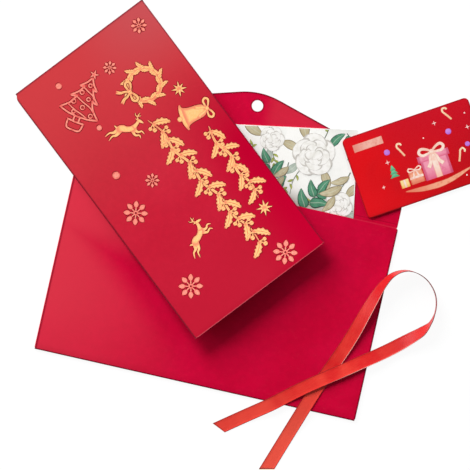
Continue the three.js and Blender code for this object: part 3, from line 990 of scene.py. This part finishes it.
for middle, size in tree_balls:
    tree.append(stroke(turned(circle(size * 0.66, 45), middle, 0), [0.85, 0.85], len(tree), 3))
for ray in range(5):
    tree.append(stroke(turned([(0, 0), (3.0, 0)], (0, 17.2), 90 + ray * 72), [1.8, 1.0, 0.2], len(tree)))
tree_up = math.degrees(math.atan2(tree_direction[1], tree_direction[0])) - 90
press_foil("foil_tree", tree, coral_foil, "coral_foil", (-59.4, -14.4), tree_up, 0.93)

# Packet flap.
# The same printed sheet carried on past the upper end of the front panel. It is rolled round the
# open end and lies behind the back panel.
packet_flap_length = 0.027
packet_flap_inset = 0.0015
packet_flap_taper = 0.0025
packet_flap_corner = 0.007
packet_flap_low = 0.0014
packet_flap_middle = packet_flap_low + card_thickness / 2
end_roll_height = (front_middle + packet_flap_middle) / 2
packet_flap_end = packet_flap_length - packet_half_length
packet_flap = cut_sheet("packet_flap_sheet", [round_outline([
    (-packet_half_length, packet_flap_inset - packet_half_width, 0),
    (packet_flap_end, packet_flap_taper - packet_half_width, packet_flap_corner),
    (packet_flap_end, packet_half_width - packet_flap_taper, packet_flap_corner),
    (-packet_half_length, packet_half_width - packet_flap_inset / 3, 0),
])], packet_flap_low, card_thickness)
bpy.ops.object.mode_set(mode="EDIT")
bpy.ops.mesh.select_mode(type="FACE")
bpy.ops.mesh.select_all(action="DESELECT")
flap_mesh = bmesh.from_edit_mesh(packet_flap.data)
for face in flap_mesh.faces:
    face.select_set(face.normal.x < -0.99)
bmesh.update_edit_mesh(packet_flap.data)
bpy.ops.mesh.spin(steps=12, angle=math.pi, center=(-packet_half_length, 0, end_roll_height), axis=(0, 1, 0))
close_sheet()
bpy.ops.object.shade_smooth_by_angle(angle=math.radians(40))
lay_on_packet(packet_flap)
packet_flap.data.materials.append(printed)

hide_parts("packet_flap")
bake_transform(packet_flap)

# Note card.
# A single sheet of heavy uncoated paper, printed in soft watercolour with pale roses, dark green
# and straw-coloured leaves, and thin sprigs. Its ground has a faint grey-green wash, and painted
# shade greys it along the pocket's throat.
note_corner = (0.0581, 0.1035, 0)
note_turn = math.radians(9.9)
note_top = 0.00065
note_printed = (-0.1195, -0.0855, -0.0005, -0.0005)
ink_thickness = 0.000008

paper, paper_shader, paper_coordinates = new_finish("note_paper")
paper_place = paper_coordinates["Object"]
paper_fibres = noise(paper_place, 1400, 4, stretch=(1, 0.4, 1))
paper_paint = paint_over("FFFEFA", (
    (step_between(noise(paper_place, 30, 4), 0.48, 0.75, 0.0, 0.5), "C9CEC6"),
    # Painted shade along the pocket's throat.
    (strip(split(paper_place)[1], throat_line, 0.011, 0.6), "8C8474"),
    (step_between(paper_fibres, 0.5, 0.75, 0.0, 0.15), "DAD7CC")))
feed(paper_shader, {"Base Color": paper_paint, "Roughness": 0.85, "Specular IOR Level": 0.1})
finish_bump(paper_shader, paper_fibres, 0.00001)
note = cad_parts["note_card"]
note.data.materials.clear()
note.data.materials.append(paper)


def ink_finish(name, colour, deep_colour, line_colour, vein=0.0, outline=0.8):
    """Watercolour ink: it pools deeper at the foot of a stroke and in soft patches, has a thin
    drawn outline and, on a leaf, a pale midrib."""
    material, shader, coordinates = new_finish(name)
    place = coordinates["Object"]
    side, along = split(coordinates["UV"])
    out = maths("ABSOLUTE", maths("SUBTRACT", side, 0.5))
    pooled = step_between(along, 0.0, 0.6, 0.75, 0.0)
    patches = step_between(noise(place, 420, 3), 0.42, 0.7, 0.0, 0.55)
    painted = mix_colours(maths("MAXIMUM", pooled, patches), colour, deep_colour)
    if vein:
        rung = maths("FRACT", maths("SUBTRACT", product(along, 7.0), product(out, 4.0)))
        side_veins = step_between(rung, 0.0, 0.16, vein * 0.35, 0.0)
        midrib = step_between(out, 0.02, 0.06, vein, 0.0)
        painted = mix_colours(maths("MAXIMUM", midrib, side_veins), painted, "D9E2CF")
    rim = step_between(out, 0.38, 0.46, 0.0, outline)
    far_rim = step_between(along, 0.94, 0.99, 0.0, outline)
    painted = mix_colours(maths("MAXIMUM", rim, far_rim), painted, line_colour)
    feed(shader, {"Base Color": painted, "Roughness": 0.8, "Specular IOR Level": 0.1})
    finish_bump(shader, noise(place, 1400, 4), 0.00001)
    return material


petal_widths = [0.34, 0.70, 0.94, 1.06, 1.06, 0.92, 0.62, 0.24]
leaf_widths = [0.04, 0.20, 0.34, 0.40, 0.38, 0.30, 0.18, 0.02]
broad_leaf_widths = [0.06, 0.32, 0.50, 0.54, 0.48, 0.36, 0.20, 0.02]
# Each rose is x, y, its radius and its turn, from the card's upper right corner.
roses = [
    (-24, -15, 12.0, 10), (-48, -7, 7.0, 55), (-9, -43, 8.0, 120), (-68, -30, 10, 200),
    (-90, -62, 10.5, 290), (-52, -66, 9.5, 80), (-104, -22, 9, 150), (-22, -74, 10, 240),
]
# Each leafy branch is x, y, its turn and its length, and whether its leaves are green.
branches = [
    (-42, -37, 112, 19, True), (-31, -51, 52, 20, True), (-38, -20, 250, 16, False),
    (-3, -24, 236, 17, False), (-6, -2, 300, 16, True), (-82, -38, 30, 19, True),
    (-94, -46, 160, 17, False), (-38, -76, 200, 18, True), (-74, -80, 100, 18, False),
    (-112, -50, 70, 19, True),
]
petals, green_leaves, straw_leaves, pale_leaves, stems, buds = [], [], [], [], [], []


def printed_leaf(root, angle, length, level):
    path = turned([(0, 0), (0.3, 0.05), (0.65, 0.05), (1, -0.06)], root, angle, length)
    return stroke(path, [width * length for width in leaf_widths], level, 4)


def broad_leaf(root, angle, length, level):
    path = turned([(0, 0), (0.2, 0), (0.6, 0.03), (1, -0.04)], root, angle, length)
    return stroke(path, [width * length for width in broad_leaf_widths], level, 4)


# Each ring of petals is their count, and how far out they start and end.
petal_rings = [(5, 0.2, 1.0), (5, 0.14, 0.72), (4, 0.06, 0.46), (2, 0.0, 0.24)]
for number, (x, y, radius, turn) in enumerate(roses):
    for ring, (count, inner, outer) in enumerate(petal_rings):
        for petal in range(count):
            angle = turn + ring * 40 + petal * 360 / count
            path = turned([(inner, 0), ((inner + outer) / 2, 0.04), (outer, 0)], (x, y), angle, radius)
            reach = radius * outer * 2 * math.pi / count * 0.9
            petals.append(stroke(path, [width * reach for width in petal_widths], 74 + ring * 6 + petal, 5))
    for leaf in range(4):
        angle = turn + 15 + leaf * 92
        root = turned([(0.8, 0)], (x, y), angle, radius)[0]
        group = (green_leaves, straw_leaves, pale_leaves, straw_leaves)[leaf]
        length = (12, 15, 11, 13)[leaf]
        group.append(printed_leaf(root, angle + (24, -20, 10, -12)[leaf], length, number * 6 + leaf))
    for sprig in (0, 1):
        angle = turn + 48 + sprig * 170
        path = turned([(0.7, 0), (1.5, 0.14), (2.1, 0.5)], (x, y), angle, radius)
        stems.append(stroke(path, [0.45, 0.35, 0.2], 48 + number * 2 + sprig, 6))
        for bud, (along, side) in enumerate(((1.25, 1), (1.5, -1), (1.75, 1), (1.95, -1), (2.1, 1))):
            root = turned([(along, 0.14 * along - 0.1)], (x, y), angle, radius)[0]
            buds.append(printed_leaf(root, angle + 20 + side * 42, 3.4, 64 + bud + number % 2 * 5))

for number, (x, y, turn, length, is_green) in enumerate(branches):
    stem = turned([(0, 0), (0.5, 0.06), (1, 0)], (x, y), turn, length)
    stems.append(stroke(stem, [0.5, 0.35, 0.15], 96 + number))
    for leaf in range(5):
        root = turned([(0.14 + 0.2 * leaf, 0.05)], (x, y), turn, length)[0]
        lean = 0 if leaf == 4 else 54 * (1 if leaf % 2 else -1)
        reach = length * (0.46, 0.56, 0.56, 0.5, 0.46)[leaf]
        level = 108 + number * 6 + leaf
        if is_green:
            green_leaves.append(broad_leaf(root, turn + lean, reach, level))
        elif leaf % 2 == 0:
            straw_leaves.append(printed_leaf(root, turn + lean * 0.6, reach * 1.4, level))


def lay_print(piece, place, ink, body):
    """Lays a drawn print in its place on the card that carries it, in an ink of its own."""
    piece.data.transform(place)
    piece.data.materials.append(ink_finish(*ink))
    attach(piece, body)


def cut_at_note_edges(piece):
    """Cuts off what is drawn past the printed part of the note card."""
    left, bottom, right, top = note_printed
    bpy.ops.object.mode_set(mode="EDIT")
    for edge_place, edge_normal in (((left, 0, 0), (-1, 0, 0)), ((right, 0, 0), (1, 0, 0)),
                                    ((0, bottom, 0), (0, -1, 0)), ((0, top, 0), (0, 1, 0))):
        bpy.ops.mesh.select_all(action="SELECT")
        bpy.ops.mesh.bisect(plane_co=edge_place, plane_no=edge_normal, use_fill=True, clear_outer=True)
    bpy.ops.object.mode_set(mode="OBJECT")


for name, strokes, ink in (
        ("note_roses", petals, ("rose_ink", "FCFAF6", "E4E1D8", "9E958A", 0.0, 0.58)),
        ("note_green_leaves", green_leaves, ("green_leaf_ink", "5A9A7A", "336A52", "143C2F", 0.45, 0.95)),
        ("note_straw_leaves", straw_leaves, ("straw_leaf_ink", "CFC3A2", "AD9E79", "7A6A4C", 0.4, 0.9)),
        ("note_pale_leaves", pale_leaves, ("pale_leaf_ink", "C3CDC2", "93A596", "8FA093", 0.6)),
        ("note_stems", stems, ("stem_ink", "77836A", "505B48", "464F40")),
        ("note_buds", buds, ("bud_ink", "B5BB62", "6E8446", "4E6238"))):
    piece = draw_strokes(name, strokes, ink_thickness)
    piece.data.transform(Matrix.Translation((0, 0, note_top)))
    cut_at_note_edges(piece)
    lay_print(piece, placed(note_corner, note_turn), ink, "note")

# Gift card.
# A red plastic card with round corners and a gloss finish. It carries a blank label strip, three
# printed boxes with bows over a pale sweep, candy canes, baubles, firs and sparkles.
gift_corner = (0.0502, 0.0961, 0)
gift_turn = math.radians(31.7)
gift_width = 0.075
gift_height = 0.047
gift_round = 0.0032
gift_low = 0.00065
gift_thickness = 0.00076
gift_edge = 0.00012
gift_place = placed(gift_corner, gift_turn)

gift = cut_sheet("gift_card_plastic", [round_outline([
    (0, -gift_height, gift_round), (gift_width, -gift_height, gift_round),
    (gift_width, 0, gift_round), (0, 0, gift_round),
])], gift_low, gift_thickness)
bpy.ops.object.mode_set(mode="EDIT")
bpy.ops.mesh.select_all(action="SELECT")
bpy.ops.mesh.dissolve_limited(angle_limit=math.radians(1))
bpy.ops.object.mode_set(mode="OBJECT")
apply_modifier(gift, "BEVEL", width=gift_edge, segments=3, limit_method="ANGLE", angle_limit=math.radians(60))
bpy.ops.object.shade_smooth_by_angle(angle=math.radians(50))
gift_uv = gift.data.uv_layers.new(name="card")
for loop in gift.data.loops:
    gift_uv.data[loop.index].uv = gift.data.vertices[loop.vertex_index].co.xy
gift.data.transform(gift_place)

plastic, plastic_shader, plastic_coordinates = new_finish("gloss_red_plastic")
plastic_place = plastic_coordinates["Object"]
plastic_grain = noise(plastic_place, 3200, 2)
plastic_y = split(plastic_place)[1]
card_x, card_y = split(add_node(plastic.node_tree, "ShaderNodeUVMap", uv_map="card").outputs[0])
plastic_paint = mix_colours(step_between(noise(plastic_place, 40, 3), 0.35, 0.65), "D40812", "C80A16")
# Painted light and shade: lighter toward the card's lower part and darker toward its upper part.
plastic_paint = paint_over(plastic_paint, (
    (step_between(plastic_y, 0.06, 0.085, 0.9, 0.0), "E20C18"),
    (step_between(plastic_y, 0.085, 0.125, 0.0, 0.9), "BC081E")))
# A painted line of shade along all four edges of the card.
for coordinate, line in ((card_x, 0), (card_x, gift_width), (card_y, 0), (card_y, -gift_height)):
    plastic_paint = mix_colours(strip(coordinate, line, 0.001, 0.75), plastic_paint, "780A14")
feed(plastic_shader, {
    "Base Color": plastic_paint, "Roughness": step_between(plastic_grain, 0.3, 0.7, 0.24, 0.34),
    "Specular IOR Level": 0.12})
finish_bump(plastic_shader, plastic_grain, 0.000002)
gift.data.materials.append(plastic)
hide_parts("gift_card")
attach(gift, "plastic_card")


def box_side(left, bottom, right, top, level):
    """A plain upright panel as one stroke from its foot to its top."""
    middle = (left + right) / 2
    return stroke([(middle, bottom), (middle, top)], [right - left, right - left], level, 4)


label = [stroke([(4.8, -7.2), (22.0, -7.2)], [4.3, 4.3], 0, 8)]
large_box = [box_side(38, -37.5, 54, -26.5, 2), box_side(36.8, -26.9, 55.2, -23.2, 6)]
small_box = [box_side(23.6, -37.2, 28.6, -32.6, 1)]
box_ribbons = [
    box_side(44.2, -37.5, 47.8, -23.3, 8),
    stroke([(29.5, -33.4), (37.5, -33.4)], [1.5, 1.5], 3, 4),
    stroke([(26.1, -37.2), (26.1, -32.6)], [1.2, 1.2], 3, 4),
]
box_ribbons += bow((46.0, -22.6), 0, 1.15, 10) + bow((33.5, -29.4), 0, 0.6, 10)
middle_box_and_sweep = [
    box_side(29.5, -37.0, 37.5, -30.0, 0),
    stroke([(25, -39.4), (37, -41.2), (50, -41.2), (65, -37.8)], [0.4, 2.8, 3.4, 2.6, 0.4], 0),
]
cane = [(0, 0), (0.3, 5.2), (0.4, 8.2), (2.0, 9.6), (3.6, 8.3), (3.4, 6.9)]
canes = [stroke(turned(cane, root, turn, 0.8), [1.1, 1.1], 4)
         for root, turn in (((59.0, -33.0), -20), ((31.0, -20.0), 28), ((62.5, -9.0), 35))]
baubles = [disc((22.0, -15.0), 3.4), disc((58.5, -15.0), 3.4), disc((66.5, -25.0), 2.8)]
firs = []
for x, y, size in ((22.0, -26.5, 1.0), (67.5, -36.5, 0.9)):
    for tier, (low, width) in enumerate(((-3.2, 5.6), (-1.2, 4.6), (0.8, 3.4))):
        firs.append(stroke([(x, y + low * size), (x, y + (low + 3.0) * size)], [width * size, 0.3], tier, 4))
sparkles = []
for x, y, reach in ((20.5, -20.5, 1.4), (52.5, -8.0, 1.3), (69.5, -16.0, 1.4), (14.0, -33.0, 1.1)):
    for ray in range(4):
        sparkles.append(stroke(turned([(0, 0), (reach, 0)], (x, y), ray * 90), [0.8, 0.3, 0.1], ray, 4))
sparkles += [disc(middle, 0.9) for middle in ((44.0, -14.0), (60.5, -41.5), (70.5, -8.0))]

print_place = gift_place @ Matrix.Translation((0, 0, gift_low + gift_thickness))
for name, strokes, ink in (
        ("gift_label_strip", label, ("label_ink", "F7BBAA", "E07C6C", "E89A88", 0.0, 0.5)),
        ("gift_box_print", large_box, ("box_ink", "F59DB4", "E0567F", "C93E6B", 0.0, 0.7)),
        ("gift_small_box_print", small_box, ("honey_ink", "FFDF9A", "F2B24C", "E0913A", 0.0, 0.6)),
        ("gift_ribbon_print", box_ribbons, ("peach_ink", "FFE6D8", "F8B8A0", "E9836B", 0.0, 0.6)),
        ("gift_coral_print", middle_box_and_sweep, ("coral_ink", "F9AE8C", "E2694E", "D9553E", 0.0, 0.6)),
        ("gift_candy_canes", canes, ("cane_ink", "FFE3BE", "F7B98E", "F08C6E", 0.0, 0.5)),
        ("gift_violet_baubles", baubles, ("violet_ink", "D08AE6", "A65BD0", "8E4ABF", 0.0, 0.5)),
        ("gift_green_firs", firs, ("fir_ink", "74C79A", "3F9A6C", "2F7F58", 0.0, 0.4)),
        ("gift_sparkles", sparkles, ("sparkle_ink", "FFE9E4", "FFC6BC", "FFB9AE", 0.0, 0.3))):
    piece = draw_strokes(name, strokes, ink_thickness)
    lay_print(piece, print_place, ink, "plastic_card")

# Floor, lights and background.
# A plain pale floor under the set, one large soft lamp low at the upper left, which throws the
# long shadow of the packet's raised end, two weak low lamps on either side of it, which shade the
# packet's long edges, and an even pale surround.
floor_gap = 0.00005
bpy.ops.object.select_all(action="DESELECT")
bpy.ops.mesh.primitive_plane_add(size=8, location=(0, 0, -floor_gap))
floor = bpy.context.object
floor.name = "floor"
floor_finish, floor_shader, _ = new_finish("pale_floor")
floor_nodes = floor_finish.node_tree


def seen_directly(tree):
    """1 for what the camera sees, itself or as a reflection, and 0 for light that only shines on."""
    rays = add_node(tree, "ShaderNodeLightPath").outputs
    return maths("MAXIMUM", rays["Is Camera Ray"], rays["Is Glossy Ray"])


feed(floor_shader, {"Base Color": (0.93, 0.93, 0.93, 1), "Roughness": 0.9, "Specular IOR Level": 0.1})
glow = add_node(floor_nodes, "ShaderNodeEmission", {"Color": (1, 1, 1, 1), "Strength": 1.04})
floor_mix = add_node(floor_nodes, "ShaderNodeMixShader", {
    0: product(seen_directly(floor_nodes), 0.9), 1: floor_shader.outputs[0], 2: glow.outputs[0]})
feed(floor_nodes.nodes["Material Output"], {"Surface": floor_mix.outputs[0]})
floor.data.materials.append(floor_finish)

set_middle = Vector((0, 0.03, 0))


def add_soft_lamp(name, direction, distance, size, share):
    """A square lamp that gives that share of the full light level on a level surface."""
    towards = Vector(direction).normalized()
    bpy.ops.object.light_add(type="AREA", location=set_middle + towards * distance)
    lamp = bpy.context.object
    lamp.name = name
    lamp.rotation_euler = towards.to_track_quat("Z", "Y").to_euler()
    lamp.data.shape = "SQUARE"
    lamp.data.size = size
    lamp.data.energy = share * (math.pi * distance) ** 2 / towards.z


add_soft_lamp("key_lamp", (-0.68, 0.73, 0.57), 3.5, 1.9, 0.59)
add_soft_lamp("top_lamp", (0.30, 0.95, 0.30), 3.0, 1.5, 0.08)
add_soft_lamp("left_lamp", (-0.95, 0.20, 0.30), 3.0, 1.5, 0.14)

world = bpy.data.worlds.new("pale_surround")
bpy.context.scene.world = world
world.use_nodes = True
world_nodes = world.node_tree
world_level = add_node(world_nodes, "ShaderNodeMapRange", {
    "Value": seen_directly(world_nodes), "To Min": 0.22, "To Max": 1.0})
feed(world_nodes.nodes["Background"], {"Color": (1, 1, 1, 1), "Strength": world_level.outputs[0]})
